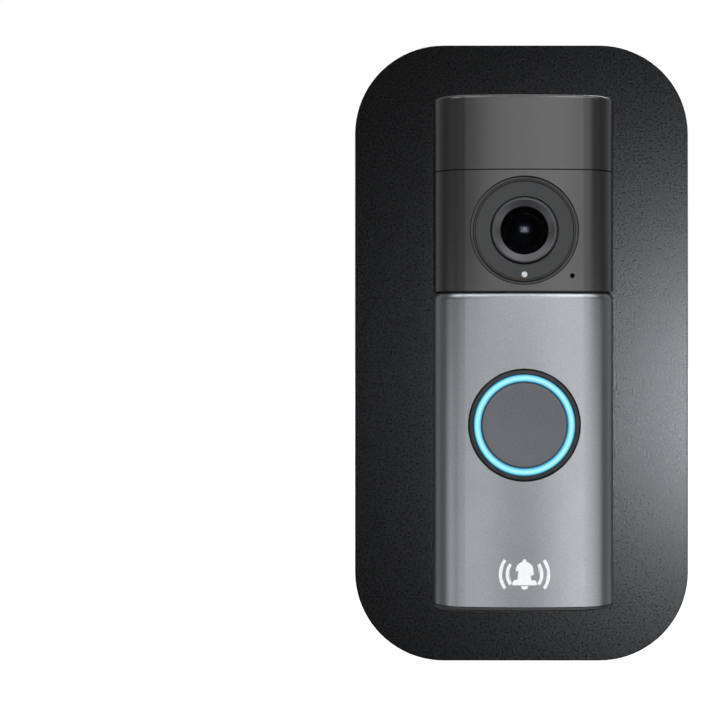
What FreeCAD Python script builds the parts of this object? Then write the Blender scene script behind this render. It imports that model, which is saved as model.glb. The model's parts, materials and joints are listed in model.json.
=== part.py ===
"""Battery video doorbell on a powder-coated steel wall plate, as an assembly of separate pieces.

Millimetres, +Z up. The front faces -Y and the wall is the plane y = 0, so the origin is the middle of the
wall plate's back face, half way between the two wall screws. From the wall to the front the stack is:
wall plate, mounting bracket, rear housing, electronics and battery, front chassis, and an outer skin in
three pieces: top cover, camera cover and metal faceplate. All skin pieces share one D-shaped section.
"""

import FreeCAD, Part
import math
import os

Vector = FreeCAD.Vector

# ---------------------------------------------------------------- driving dimensions
PLATE_W, PLATE_H, PLATE_T = 92.0, 170.0, 1.6
PLATE_CORNER_R = 24.5
WINDOW_W, WINDOW_H = 30.0, 71.0        # round-ended window for the house wires
SLOT_W, SLOT_L = 4.6, 128.0            # one slot line, cut through above and below the window
WALL_SCREW_R, WALL_SCREW_SPACING = 2.0, 100.0
WALL_SCREW_NECK_R = 1.75               # the screws' plain neck, from the head to the wall plane
WALL_SCREW_REACH = 30.0                # how far the screws stand out behind the wall plate

UNIT_W, UNIT_H = 48.0, 135.0
UNIT_FRONT_Y = -29.0                   # the foremost line of the skin
UNIT_BACK_Y = -1.9                     # the rear housing's rim, just clear of the wall plate
SPLIT_Y = -8.5                         # the joint plane between rear housing and front pieces
FRONT_R, CORNER_R = 110.0, 10.0        # the D-section's front arc and its two corner arcs

SKIN_T, SKIN_GAP, CHASSIS_T = 1.5, 0.25, 1.8
SEAM = 0.3                             # visible gap between neighbouring skin pieces
TOP_SEAM_Z, FACEPLATE_TOP_Z = 47.9, 16.1
BOTTOM_LIP = 1.1                       # the chassis's black lip that shows below the faceplate
BEVEL_H, BEVEL_R = 1.9, 2.55           # the bright rounded bevel along the faceplate's top edge
EDGE_R = 0.9                           # rounding of the unit's top and bottom outer edges
RIB_ZS, RIB_H = (2.0, -38.0), 4.0      # the faceplate's guide ribs, two on each side

CAMERA_Z, CAMERA_R = 32.0, 14.0
BUTTON_Z, BUTTON_RING_R = -18.8, 14.5
RING_CLEARANCE = 0.25                  # round the camera and button rings, in the skin
LIGHT_R_OUT, LIGHT_R_IN = 13.2, 11.35
MIC_X, MIC_Z, MIC_HOLE_R = 12.5, 20.2, 0.6
SEAT_Y = -26.3                         # flat seats on the chassis under the camera and button rings
SEAL_T = 0.5

PACK_W, PACK_T, PACK_TOP_Z = 30.0, 9.8, 4.2
PACK_Y = -14.7                         # the battery pack's middle plane
PACK_EDGE_R = 1.6                      # rounding of the pack's upright edges
SLEEVE_WALL, SLEEVE_GAP = 0.9, 0.2

BRACKET_W, BRACKET_H, BRACKET_T = 40.0, 124.0, 2.6
HOOK_X, HOOK_Z, HOOK_TIP_Z = 10.0, 57.5, 61.4
TAB_LOW_Z, TAB_TOP_Z = -62.0, -58.4    # the bracket's tab for the lock screw
BACK_WALL_Y, BACK_WALL_T = -4.6, 1.8   # the rear housing's back wall, set in to clear the bracket
BOARD_T = 1.0
CASE_SCREW_R, CASE_BOSS_R = 1.0, 2.0
THROUGH = 40.0                         # far enough forward to cut through every front wall

# ---------------------------------------------------------------- derived dimensions
UNIT_TOP, UNIT_BOTTOM = UNIT_H / 2, -UNIT_H / 2
FRONT_CENTRE_Y = UNIT_FRONT_Y + FRONT_R
CORNER_X = UNIT_W / 2 - CORNER_R
CORNER_Y = FRONT_CENTRE_Y - math.sqrt((FRONT_R - CORNER_R) ** 2 - CORNER_X ** 2)
CHASSIS_OUT = SKIN_T + SKIN_GAP
CHASSIS_IN = CHASSIS_OUT + CHASSIS_T
INNER_X = UNIT_W / 2 - CHASSIS_IN
BACK_WALL_IN_Y = BACK_WALL_Y - BACK_WALL_T
BRACKET_FRONT_Y = -PLATE_T - BRACKET_T
END_CAP_TOP_Z = UNIT_BOTTOM + 5.6
FACEPLATE_BOTTOM_Z = UNIT_BOTTOM + BOTTOM_LIP + 0.15
CHASSIS_TOP_Z = UNIT_TOP - CHASSIS_OUT
PACK_FRONT_Y, PACK_BACK_Y = PACK_Y - PACK_T / 2, PACK_Y + PACK_T / 2
SLEEVE_IN_FRONT, SLEEVE_IN_BACK = PACK_FRONT_Y - SLEEVE_GAP, PACK_BACK_Y + SLEEVE_GAP
SLEEVE_OUT_FRONT, SLEEVE_OUT_BACK = SLEEVE_IN_FRONT - SLEEVE_WALL, SLEEVE_IN_BACK + SLEEVE_WALL
SLEEVE_IN_X = PACK_W / 2 + SLEEVE_GAP
SLEEVE_OUT_X = SLEEVE_IN_X + SLEEVE_WALL
SLEEVE_TOP_Z = PACK_TOP_Z + 0.4
BOSS_SPOTS = [(side * 18.5, z) for side in (-1, 1) for z in (60.0, 8.6, -56.0)]
MAIN_BOARD_BACK_Y = -8.9
MAIN_BOARD_Y = MAIN_BOARD_BACK_Y - BOARD_T
CAMERA_BOARD_Y = -12.5
INFRARED_BOARD_Y = -24.6
BUTTON_BOARD_Y = -23.2
PLUNGER_TOP_Y, PLUNGER_R = -26.0, 1.5
MIC_BOARD_Y, MIC_FACE_Y = -21.6, -22.6
RING_BACK_Y = SEAT_Y - SEAL_T          # the back faces of the camera and button rings
SENSOR_DROP = 11.5                     # the light sensor sits this far below the lens
TERMINAL_SPOTS = [(-5.5, 21.0), (5.5, 21.0)]
TERMINAL_FLOOR_Y, TERMINAL_PLATE_T = -6.2, 0.55
SETUP_X, SETUP_Z = -8.5, 8.0
SPEAKER_Z = -52.0
SPEAKER_BACK_Y, SPEAKER_FRONT_Y = -20.9, -24.5
SPEAKER_W, SPEAKER_H, MAGNET_R = 23.0, 17.0, 4.5
SECURITY_Y, SECURITY_HEAD_R = -4.8, 2.35
PIN_XS = (-3.5, 0.0, 3.5)              # the battery's three contacts
LATCH_W, LATCH_D = 8.0, 2.8
LATCH_GROOVE_X = 3.4                   # half width of the groove for the latch's tooth
RADAR_Y, RADAR_Z, RADAR_T = -22.6, 56.6, 0.8
PATCH_XS = (-10.5, -3.5, 3.5, 10.5)    # the motion sensor's antenna patches
# x, z, width and height of the packages on the main board
PACKAGES = [(-11.6, 44.6, 6.0, 5.0), (11.4, 44.8, 4.0, 4.0), (-12.8, 17.6, 4.0, 4.0), (12.8, 28.4, 3.6, 5.0)]


# ---------------------------------------------------------------- shape helpers
def box(x0, x1, y0, y1, z0, z1):
    """Block between two opposite corners, given in any order."""
    corner = Vector(min(x0, x1), min(y0, y1), min(z0, z1))
    return Part.makeBox(abs(x1 - x0), abs(y1 - y0), abs(z1 - z0), corner)


def disc_y(radius, y0, y1, x=0.0, z=0.0):
    """Solid cylinder along Y."""
    return Part.makeCylinder(radius, abs(y1 - y0), Vector(x, min(y0, y1), z), Vector(0, 1, 0))


def ring_y(r_out, r_in, y0, y1, x=0.0, z=0.0):
    return disc_y(r_out, y0, y1, x, z).cut(disc_y(r_in, y0, y1, x, z))


def disc_z(radius, z0, z1, x=0.0, y=0.0):
    return Part.makeCylinder(radius, abs(z1 - z0), Vector(x, y, min(z0, z1)), Vector(0, 0, 1))


def slab(width, height, radius, y0, y1, x=0.0, z=0.0):
    """Rounded rectangle in the XZ plane, extruded along Y."""
    solid = box(x - width / 2, x + width / 2, y0, y1, z - height / 2, z + height / 2)
    along_y = [e for e in solid.Edges if abs(e.tangentAt(e.FirstParameter).y) > 0.9]
    return solid.makeFillet(radius, along_y)


def slab_xy(width, depth, radius, z0, z1, x=0.0, y=0.0):
    """Rounded rectangle in the XY plane, extruded along Z."""
    solid = box(x - width / 2, x + width / 2, y - depth / 2, y + depth / 2, z0, z1)
    along_z = [e for e in solid.Edges if abs(e.tangentAt(e.FirstParameter).z) > 0.9]
    return solid.makeFillet(radius, along_z)


def pill(width, height, y0, y1, x=0.0, z=0.0):
    """Round-ended opening or block: two discs and the box between them, standing upright."""
    half = height / 2 - width / 2
    middle = box(x - width / 2, x + width / 2, y0, y1, z - half, z + half)
    ends = [disc_y(width / 2, y0, y1, x, z + side * half) for side in (-1, 1)]
    return middle.multiFuse(ends).removeSplitter()


def turned_y(profile, x=0.0, z=0.0):
    """Solid of revolution about a Y-parallel axis, from (radius, y) corners."""
    corners = [Vector(r, y, 0) for r, y in profile]
    face = Part.Face(Part.makePolygon(corners + corners[:1]))
    solid = face.revolve(Vector(0, 0, 0), Vector(0, 1, 0), 360)
    return solid.translated(Vector(x, 0, z))


def turned_z(profile, x=0.0, y=0.0):
    """Solid of revolution about a Z-parallel axis, from (radius, z) corners."""
    corners = [Vector(r, 0, z) for r, z in profile]
    face = Part.Face(Part.makePolygon(corners + corners[:1]))
    return face.revolve(Vector(0, 0, 0), Vector(0, 0, 1), 360).translated(Vector(x, y, 0))


def d_face(inset, z, back_y):
    """The unit's D-shaped section at height z, inset from the outer skin and closed by a straight back."""
    side_x, corner_r, front_r = UNIT_W / 2 - inset, CORNER_R - inset, FRONT_R - inset
    outward = Vector(CORNER_X, CORNER_Y - FRONT_CENTRE_Y, 0).normalize()
    bisector = (outward + Vector(1, 0, 0)).normalize()
    corner = Vector(CORNER_X, CORNER_Y, z)
    start = Vector(side_x, CORNER_Y, z)
    bend = corner + bisector * corner_r
    join = corner + outward * corner_r
    nose = Vector(0, FRONT_CENTRE_Y - front_r, z)

    def mirrored(p):
        return Vector(-p.x, p.y, p.z)

    back, back_m = Vector(side_x, back_y, z), Vector(-side_x, back_y, z)
    edges = [
        Part.LineSegment(back, start),
        Part.Arc(start, bend, join),
        Part.Arc(join, nose, mirrored(join)),
        Part.Arc(mirrored(join), mirrored(bend), mirrored(start)),
        Part.LineSegment(mirrored(start), back_m),
        Part.LineSegment(back_m, back),
    ]
    return Part.Face(Part.Wire([e.toShape() for e in edges]))


def d_prism(inset, z0, z1, back_y=SPLIT_Y):
    return d_face(inset, z0, back_y).extrude(Vector(0, 0, z1 - z0))


def rim_edges(solid, z, back_y=SPLIT_Y):
    """The edges of a D-prism at height z, without the straight back one."""
    found = []
    for edge in solid.Edges:
        middle = edge.valueAt((edge.FirstParameter + edge.LastParameter) / 2)
        level = all(abs(v.Z - z) < 1e-6 for v in edge.Vertexes) and abs(middle.z - z) < 1e-6
        if level and abs(middle.y - back_y) > 1e-6:
            found.append(edge)
    return found


def bore_y(radius, x=0.0, z=0.0):
    """Cutter for a round opening through the front walls only."""
    return disc_y(radius, -20, -THROUGH, x, z)


def front_at(inset, x):
    """Y of the D-section's front arc at x."""
    return FRONT_CENTRE_Y - math.sqrt((FRONT_R - inset) ** 2 - x ** 2)


def ribbon(corners, x0, x1, thickness=0.2):
    """Flat flexible circuit between (y, z) corners, each stretch along Y or Z."""
    half = thickness / 2
    runs = []
    for (ya, za), (yb, zb) in zip(corners, corners[1:]):
        low_y, high_y = min(ya, yb) - half, max(ya, yb) + half
        low_z, high_z = min(za, zb) - half, max(za, zb) + half
        runs.append(box(x0, x1, low_y, high_y, low_z, high_z))
    return runs[0].multiFuse(runs[1:]).removeSplitter() if len(runs) > 1 else runs[0]


def save(node, made):
    """Writes one node: one solid, or a list of separate solids as a group."""
    shapes = made if isinstance(made, list) else [made]
    solids = [solid for shape in shapes for solid in shape.Solids]
    for solid in solids:
        if not solid.isValid() or solid.Volume <= 0:
            raise ValueError(f"{node} holds a bad solid")
    whole = solids[0] if len(solids) == 1 else Part.makeCompound(solids)
    whole.exportStep(f"parts/{node}.step")
    print(f"{node}: {len(solids)} solid(s), {sum(s.Volume for s in solids):.1f} mm3")


# ---------------------------------------------------------------- wall side
def wall_plate():
    """Flat steel plate with a round-ended window and a slot line for the wall screws."""
    edge_r = 0.35
    plate = slab(PLATE_W, PLATE_H, PLATE_CORNER_R, -PLATE_T, 0)
    window = pill(WINDOW_W, WINDOW_H, -PLATE_T - 1, 1)
    slots = pill(SLOT_W, SLOT_L, -PLATE_T - 1, 1)
    plate = plate.cut(window.fuse(slots))
    front_edges = [e for e in plate.Edges if all(abs(v.Y + PLATE_T) < 1e-6 for v in e.Vertexes)]
    return plate.makeFillet(edge_r, front_edges)


def mounting_bracket():
    """Hook plate between wall plate and unit: two sunk holes, two hooks, and a tab for the lock screw."""
    bracket = slab(BRACKET_W, BRACKET_H, 4.0, BRACKET_FRONT_Y, -PLATE_T)
    bracket = bracket.cut(pill(WINDOW_W, WINDOW_H, BRACKET_FRONT_Y - 1, 0))
    sink_r, hole_r = 4.0, 2.25
    sink_end_y = BRACKET_FRONT_Y + sink_r - hole_r
    sink = [(0, BRACKET_FRONT_Y), (sink_r, BRACKET_FRONT_Y), (hole_r, sink_end_y), (hole_r, 0), (0, 0)]
    for side in (-1, 1):
        bracket = bracket.cut(turned_y(sink, z=side * WALL_SCREW_SPACING / 2))
    hook_half, hook_front_y, hook_t, neck_h = 2.6, -8.0, 1.3, 1.9
    for side in (-1, 1):
        x0, x1 = side * HOOK_X - hook_half, side * HOOK_X + hook_half
        neck = box(x0, x1, BRACKET_FRONT_Y, hook_front_y, HOOK_Z, HOOK_Z + neck_h)
        tip = box(x0, x1, hook_front_y + hook_t, hook_front_y, HOOK_Z, HOOK_TIP_Z)
        bracket = bracket.fuse(neck.fuse(tip))
    tab_half, tab_front_y, thread_r = 6.0, -7.5, 1.5
    tab = box(-tab_half, tab_half, -PLATE_T, tab_front_y, TAB_LOW_Z, TAB_TOP_Z)
    bracket = bracket.fuse(tab).removeSplitter()
    return bracket.cut(disc_z(thread_r, TAB_LOW_Z - 1, TAB_TOP_Z + 1, y=SECURITY_Y))


def cross_recess(y, depth, reach, half, x=0.0, z=0.0):
    """Cross-head driver recess from y towards +Y."""
    upright = box(x - half, x + half, y, y + depth, z - reach, z + reach)
    return upright.fuse(box(x - reach, x + reach, y, y + depth, z - half, z + half))


def wall_screws():
    """Two countersunk wood screws, standing out behind the plate into the wall."""
    head_y = BRACKET_FRONT_Y + 0.05
    head_r = 3.75
    sink_end_y = head_y + head_r - WALL_SCREW_NECK_R
    point_y = WALL_SCREW_REACH - 5
    profile = [
        (0, head_y), (head_r, head_y), (WALL_SCREW_NECK_R, sink_end_y), (WALL_SCREW_NECK_R, 0),
        (WALL_SCREW_R, 0), (WALL_SCREW_R, point_y), (0.2, WALL_SCREW_REACH), (0, WALL_SCREW_REACH),
    ]
    screws = []
    for side in (-1, 1):
        z = side * WALL_SCREW_SPACING / 2
        recess = cross_recess(head_y - 0.1, 1.3, 1.9, 0.45, z=z)
        screws.append(turned_y(profile, z=z).cut(recess))
    return screws


# ---------------------------------------------------------------- housing and skin
def rear_housing():
    """Shallow black tray: rim on the wall plate, recess for the bracket, terminal pocket and screw pads."""
    front_y = SPLIT_Y + 0.1
    housing = box(-UNIT_W / 2, UNIT_W / 2, front_y, UNIT_BACK_Y, UNIT_BOTTOM, UNIT_TOP)
    corners = [e for e in housing.Edges if abs(e.tangentAt(e.FirstParameter).y) > 0.9]
    housing = housing.makeFillet(EDGE_R, corners)
    rim = [e for e in housing.Edges if all(abs(v.Y - UNIT_BACK_Y) < 1e-6 for v in e.Vertexes)]
    housing = housing.makeChamfer(0.6, rim)
    bracket_gap = 0.6
    bracket_room = slab(BRACKET_W + 2 * bracket_gap, BRACKET_H + 4 * bracket_gap, 4.0, BACK_WALL_Y, 0, z=0.4)
    inside = slab(2 * INNER_X, 128.4, 2.0, SPLIT_Y - 1, BACK_WALL_IN_Y, z=-0.2)
    housing = housing.cut(bracket_room).cut(inside)
    housing = housing.multiFuse(housing_pads(front_y)).removeSplitter()
    for cut in housing_pockets():
        housing = housing.cut(cut)
    return housing


def housing_pads(front_y):
    """Thicker places on the housing's inner side: screw pads, hook, tab and terminal pockets."""
    pads = [disc_y(2.3, front_y, BACK_WALL_IN_Y, x, z) for x, z in BOSS_SPOTS]
    hook_half = 3.6
    for side in (-1, 1):
        x0, x1 = side * HOOK_X - hook_half, side * HOOK_X + hook_half
        pads.append(box(x0, x1, -8.7, BACK_WALL_IN_Y, HOOK_Z - 3.3, HOOK_TIP_Z + 1.0))
    pads.append(box(-8, 8, front_y, BACK_WALL_IN_Y, TAB_LOW_Z - 2.4, TAB_TOP_Z + 1.6))
    pads.append(box(-11, 11, -8.0, BACK_WALL_IN_Y, 15.4, 26.6))
    return pads


def housing_pockets():
    """Cutters for everything that is open to the back or the bottom of the rear housing."""
    tab_half, hook_half, pocket_y = 6.4, 3.1, -8.35
    cuts = [box(-tab_half, tab_half, -8.0, 0, TAB_LOW_Z - 1.4, TAB_TOP_Z + 0.8), housing_seal()]
    for side in (-1, 1):
        x0, x1 = side * HOOK_X - hook_half, side * HOOK_X + hook_half
        cuts.append(box(x0, x1, pocket_y, 0, HOOK_Z - 2.5, HOOK_Z + 2.2))
        cuts.append(box(x0, x1, pocket_y, BACK_WALL_IN_Y, HOOK_Z - 2.5, HOOK_TIP_Z + 0.4))
    cuts.append(slab(20.4, 9.6, 1.5, TERMINAL_FLOOR_Y, 0, z=TERMINAL_SPOTS[0][1]))
    cuts += [disc_y(2.5, -9, 0, x, z) for x, z in TERMINAL_SPOTS]
    cuts.append(disc_y(2.65, -9, 0, SETUP_X, SETUP_Z))
    for x, z in BOSS_SPOTS:
        cuts.append(disc_y(1.95, BACK_WALL_Y - 1.3, 0, x, z))
        cuts.append(disc_y(CASE_SCREW_R + 0.1, -9, 0, x, z))
    cuts.append(disc_z(SECURITY_HEAD_R + 0.25, UNIT_BOTTOM - 1, UNIT_BOTTOM + 2.3, y=SECURITY_Y))
    cuts.append(disc_z(1.7, UNIT_BOTTOM - 1, -60, y=SECURITY_Y))
    return cuts


def housing_seal():
    """Sealing cord: a flat loop in the joint plane between rear housing and front chassis."""
    outer = slab(2 * (INNER_X + 1.35), 131.0, 3.0, SPLIT_Y, SPLIT_Y + 0.8, z=-0.1)
    return outer.cut(slab(2 * (INNER_X + 0.35), 129.0, 2.0, SPLIT_Y - 1, SPLIT_Y + 2, z=-0.1))


def housing_screws():
    """Six cross-head screws that pull the rear housing onto the chassis bosses."""
    head_y, head_r, tip_y = BACK_WALL_Y - 0.1, 1.8, -16.0
    under_y = head_y - 1.2
    profile = [
        (0, head_y), (head_r, head_y), (head_r, under_y), (CASE_SCREW_R, under_y), (CASE_SCREW_R, tip_y),
        (0, tip_y),
    ]
    screws = []
    for x, z in BOSS_SPOTS:
        recess = cross_recess(head_y - 0.7, 0.7, 1.1, 0.25, x, z)
        screws.append(turned_y(profile, x, z).cut(recess))
    return screws


def front_chassis():
    """Structural front shell behind the skin, with the bottom lip that shows below the faceplate."""
    lip_top = UNIT_BOTTOM + BOTTOM_LIP
    shell = d_prism(CHASSIS_OUT, lip_top - 0.5, CHASSIS_TOP_Z)
    lip = d_prism(0, UNIT_BOTTOM, lip_top)
    lip = lip.makeFillet(0.6, rim_edges(lip, UNIT_BOTTOM))
    hollow = d_prism(CHASSIS_IN, UNIT_BOTTOM + 3.1, CHASSIS_TOP_Z - CHASSIS_T, 0)
    chassis = lip.fuse(shell).cut(hollow)

    # screw bosses run forward from the joint plane along the side walls
    bosses = [disc_y(CASE_BOSS_R, SPLIT_Y, -18, x, z) for x, z in BOSS_SPOTS]
    inside = d_prism(CHASSIS_OUT + 0.5, UNIT_BOTTOM + 2, CHASSIS_TOP_Z - 1)
    chassis = chassis.multiFuse([b.common(inside) for b in bosses]).removeSplitter()
    for cut in chassis_openings(lip_top) + sound_path():
        chassis = chassis.cut(cut)
    return chassis


def chassis_openings(lip_top):
    """Cutters for screws, ring seats, microphone, battery bay and the faceplate's guide channels."""
    cuts = [disc_y(CASE_SCREW_R, SPLIT_Y + 1, -17, x, z) for x, z in BOSS_SPOTS]
    for seat_r, hole_r, z in ((15.2, 13.8, BUTTON_Z), (14.9, 13.7, CAMERA_Z)):
        cuts += [disc_y(seat_r, SEAT_Y, -THROUGH, z=z), bore_y(hole_r, z=z)]
    cuts.append(bore_y(MIC_HOLE_R, MIC_X, MIC_Z))
    bay_top = UNIT_BOTTOM + 4
    cuts.append(box(-SLEEVE_OUT_X, SLEEVE_OUT_X, SPLIT_Y + 1, SLEEVE_OUT_FRONT, lip_top, bay_top))
    cuts.append(bay_block(UNIT_BOTTOM - 1, bay_top))
    cuts.append(box(-LATCH_GROOVE_X, LATCH_GROOVE_X, PACK_Y, SLEEVE_IN_FRONT - 1.1, UNIT_BOTTOM - 1, bay_top))
    channel_half, channel_x = RIB_H / 2 + 0.3, 21.4
    for side in (-1, 1):
        for z in RIB_ZS:
            cuts.append(
                box(side * channel_x, side * 30, SPLIT_Y + 1, -THROUGH, z - channel_half, z + channel_half)
            )
    return cuts


def sound_path():
    """Cutters for a shallow band round the shell, fed by slots in front of the speaker."""
    band_half, depth, slot_pitch = 6.5, 0.9, 2.4
    band = d_prism(CHASSIS_OUT - 0.1, SPEAKER_Z - band_half, SPEAKER_Z + band_half)
    band = band.cut(d_prism(CHASSIS_OUT + depth, SPEAKER_Z - 7, SPEAKER_Z + 7))
    band = band.common(box(-30, 30, -11, -THROUGH, UNIT_BOTTOM, UNIT_TOP))
    slots = [slab(13.0, 1.2, 0.55, -20, -THROUGH, z=SPEAKER_Z + step * slot_pitch) for step in range(-2, 3)]
    return [band] + slots


def top_cover():
    """Gloss cap over the motion sensor, closed at the top."""
    cap = d_prism(0, TOP_SEAM_Z + SEAM / 2, UNIT_TOP)
    cap = cap.makeFillet(EDGE_R, rim_edges(cap, UNIT_TOP))
    return cap.cut(d_prism(SKIN_T, TOP_SEAM_Z - 1, UNIT_TOP - SKIN_T, 0))


def camera_cover():
    """Gloss band round the camera, with the camera opening and the microphone hole."""
    low, high = FACEPLATE_TOP_Z + SEAM / 2, TOP_SEAM_Z - SEAM / 2
    cover = d_prism(0, low, high).cut(d_prism(SKIN_T, low - 1, high + 1, 0))
    cover = cover.cut(bore_y(CAMERA_R + RING_CLEARANCE, z=CAMERA_Z))
    return cover.cut(bore_y(MIC_HOLE_R + 0.05, MIC_X, MIC_Z))


def faceplate():
    """Metal front cover: D-shell with a rounded top bevel, the button opening, sound slots and guide ribs."""
    high = FACEPLATE_TOP_Z - SEAM / 2
    crown = high - BEVEL_H + BEVEL_R
    plate = d_prism(0, FACEPLATE_BOTTOM_Z, crown)
    plate = plate.makeFillet(BEVEL_R, rim_edges(plate, crown))
    plate = plate.cut(box(-30, 30, 0, -THROUGH, high, crown + 1))
    plate = plate.cut(d_prism(SKIN_T, FACEPLATE_BOTTOM_Z - 1, high + 1, 0))
    plate = plate.cut(bore_y(BUTTON_RING_R + RING_CLEARANCE, z=BUTTON_Z))
    ribs = []
    for side in (-1, 1):
        for z in RIB_ZS:
            ribs.append(box(side * 21.7, side * 22.8, -9.5, -14.5, z - RIB_H / 2, z + RIB_H / 2))
    plate = plate.multiFuse(ribs).removeSplitter()
    slot_count, slot_pitch, slot_half = 6, 2.0, 0.5
    for step in range(slot_count):
        z = SPEAKER_Z + (step - (slot_count - 1) / 2) * slot_pitch
        plate = plate.cut(box(-30, 30, -11.5, -17.0, z - slot_half, z + slot_half))
    return plate


# ---------------------------------------------------------------- camera
def camera_bezel():
    """Black ring round the camera: bevelled rim, a sunk groove outside it, and a sleeve behind."""
    r = CAMERA_R
    return turned_y(
        [
            (12.8, -28.85), (13.0, -29.1), (13.15, -29.1), (13.45, -28.7), (13.45, -27.5), (r, -27.5),
            (r, RING_BACK_Y), (13.55, RING_BACK_Y), (13.55, -23.6), (13.0, -23.6), (13.0, -26.2),
            (12.3, -26.7), (12.3, -27.2), (12.8, -27.2),
        ],
        z=CAMERA_Z,
    )


def ring_seals():
    """Flat rubber rings under the camera bezel and under the button bezel."""
    camera = ring_y(CAMERA_R, 13.6, RING_BACK_Y, SEAT_Y, z=CAMERA_Z)
    button = ring_y(BUTTON_RING_R - 0.1, 13.75, RING_BACK_Y, SEAT_Y, z=BUTTON_Z)
    return [camera, button]


def infrared_window():
    """Dark annular window in front of the infrared lamps, with a hole for the light sensor's lens."""
    window = turned_y([(8.95, -28.65), (12.75, -28.75), (12.75, -27.25), (8.95, -27.25)], z=CAMERA_Z)
    return window.cut(bore_y(0.8, z=CAMERA_Z - SENSOR_DROP))


def light_sensor_lens():
    """Small milky light pipe below the camera lens."""
    return disc_y(0.75, -28.85, -25.4, z=CAMERA_Z - SENSOR_DROP)


def lens_barrel():
    """Flanged barrel with a shallow conical mouth around the front glass."""
    return turned_y(
        [
            (8.25, -29.25), (8.6, -28.9), (8.6, -26.4), (7.0, -26.4), (7.0, -15.4), (5.4, -15.4),
            (5.4, -22.6), (6.3, -22.6), (6.3, -28.4), (7.95, -29.25),
        ],
        z=CAMERA_Z,
    )


def front_lens():
    """Outer wide-angle glass: domed front, hollowed back."""
    dome_r, hollow_r, nose_y = 9.0, 5.2, -28.95
    blank = disc_y(6.2, nose_y - 0.25, -23.6, z=CAMERA_Z)
    dome = Part.makeSphere(dome_r, Vector(0, nose_y + dome_r, CAMERA_Z))
    hollow = Part.makeSphere(hollow_r, Vector(0, -20.6, CAMERA_Z))
    return blank.common(dome).cut(hollow)


def second_lens():
    """Smaller glass behind the front one."""
    dome_r, nose_y = 7.0, -22.4
    blank = disc_y(5.3, nose_y - 0.1, -19.6, z=CAMERA_Z)
    return blank.common(Part.makeSphere(dome_r, Vector(0, nose_y + dome_r, CAMERA_Z)))


def aperture_stop():
    """Thin black disc with the lens's small opening."""
    return turned_y([(1.1, -19.2), (5.3, -19.2), (5.3, -18.9), (1.1, -18.9)], z=CAMERA_Z)


def lens_holder():
    """Square mount that carries the barrel on the camera board."""
    width, front_y, well_half = 16.4, -20.0, 5.2
    block = slab(width, width, 2.0, CAMERA_BOARD_Y, front_y, z=CAMERA_Z)
    block = block.cut(disc_y(7.05, -15.0, front_y - 1, z=CAMERA_Z))
    return block.cut(box(-well_half, well_half, -11, -16, CAMERA_Z - well_half, CAMERA_Z + well_half))


def camera_board():
    return slab(24.0, 24.0, 1.5, CAMERA_BOARD_Y, CAMERA_BOARD_Y + BOARD_T, z=CAMERA_Z)


def image_sensor():
    return box(-4.2, 4.2, CAMERA_BOARD_Y, CAMERA_BOARD_Y - 1.0, CAMERA_Z - 3.4, CAMERA_Z + 3.4)


def infrared_board():
    """Ring-shaped board, and the light sensor on it below the lens."""
    board = ring_y(12.9, 8.9, INFRARED_BOARD_Y, INFRARED_BOARD_Y + 0.8, z=CAMERA_Z)
    middle = CAMERA_Z - SENSOR_DROP
    sensor = box(-1.0, 1.0, INFRARED_BOARD_Y, INFRARED_BOARD_Y - 0.8, middle - 1.0, middle + 1.0)
    return [board, sensor]


def infrared_lamps():
    """Five lamps on the ring board, spaced by 60 degrees, leaving the lowest place to the light sensor."""
    circle_r, half, dome_r = 11.0, 1.0, 0.7
    base_y = INFRARED_BOARD_Y - 0.7
    lamps = []
    for degrees in (30, 90, 150, 210, 330):
        angle = math.radians(degrees)
        x, z = circle_r * math.cos(angle), CAMERA_Z + circle_r * math.sin(angle)
        base = box(x - half, x + half, INFRARED_BOARD_Y, base_y, z - half, z + half)
        lamps.append(base.fuse(disc_y(dome_r, base_y, base_y - 0.5, x, z)))
    return lamps


# ---------------------------------------------------------------- button
def button_bezel():
    """Black ring in the faceplate's opening; its sleeve carries the light ring and the button board."""
    r = BUTTON_RING_R
    return turned_y(
        [
            (13.35, -28.85), (13.5, -29.0), (r - 0.3, -29.0), (r, -28.7), (r, RING_BACK_Y),
            (13.7, RING_BACK_Y), (13.7, -22.0), (13.35, -22.0),
        ],
        z=BUTTON_Z,
    )


def light_ring():
    """Clear light guide; its step leaves room behind it for the button's flange."""
    return turned_y(
        [
            (LIGHT_R_IN, -28.65), (LIGHT_R_IN + 0.2, -28.85), (LIGHT_R_OUT - 0.2, -28.85),
            (LIGHT_R_OUT, -28.65),
            (LIGHT_R_OUT, -24.2), (12.6, -24.2), (12.6, -26.5), (LIGHT_R_IN, -26.5),
        ],
        z=BUTTON_Z,
    )


def button_cap():
    """Pressed part: dished disc with a retaining flange and a post that works the switch."""
    r, face_y = LIGHT_R_IN - 0.15, -28.8
    cap = turned_y(
        [
            (0, face_y), (r - 0.3, face_y), (r, face_y + 0.3), (r, -26.4), (12.3, -26.4), (12.3, -25.7),
            (9.8, -25.7), (9.8, -27.3), (2.4, -27.3), (2.4, PLUNGER_TOP_Y), (0, PLUNGER_TOP_Y),
        ],
        z=BUTTON_Z,
    )
    dish_r, dish_depth = 190.0, 0.28
    dish = Part.makeSphere(dish_r, Vector(0, face_y - dish_r + dish_depth, BUTTON_Z))
    return cap.cut(dish)


def switch_plunger():
    """The switch's own plunger, which travels with the button."""
    return disc_y(PLUNGER_R, PLUNGER_TOP_Y, -24.3, z=BUTTON_Z)


def button_switch():
    """Tact switch body with a well for its plunger."""
    width, front_y = 6.2, -24.9
    body = slab(width, width, 0.6, BUTTON_BOARD_Y, front_y, z=BUTTON_Z)
    return body.cut(disc_y(PLUNGER_R + 0.1, BUTTON_BOARD_Y - 0.15, front_y - 1, z=BUTTON_Z))


def button_board():
    return disc_y(13.3, BUTTON_BOARD_Y, BUTTON_BOARD_Y + BOARD_T, z=BUTTON_Z)


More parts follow.
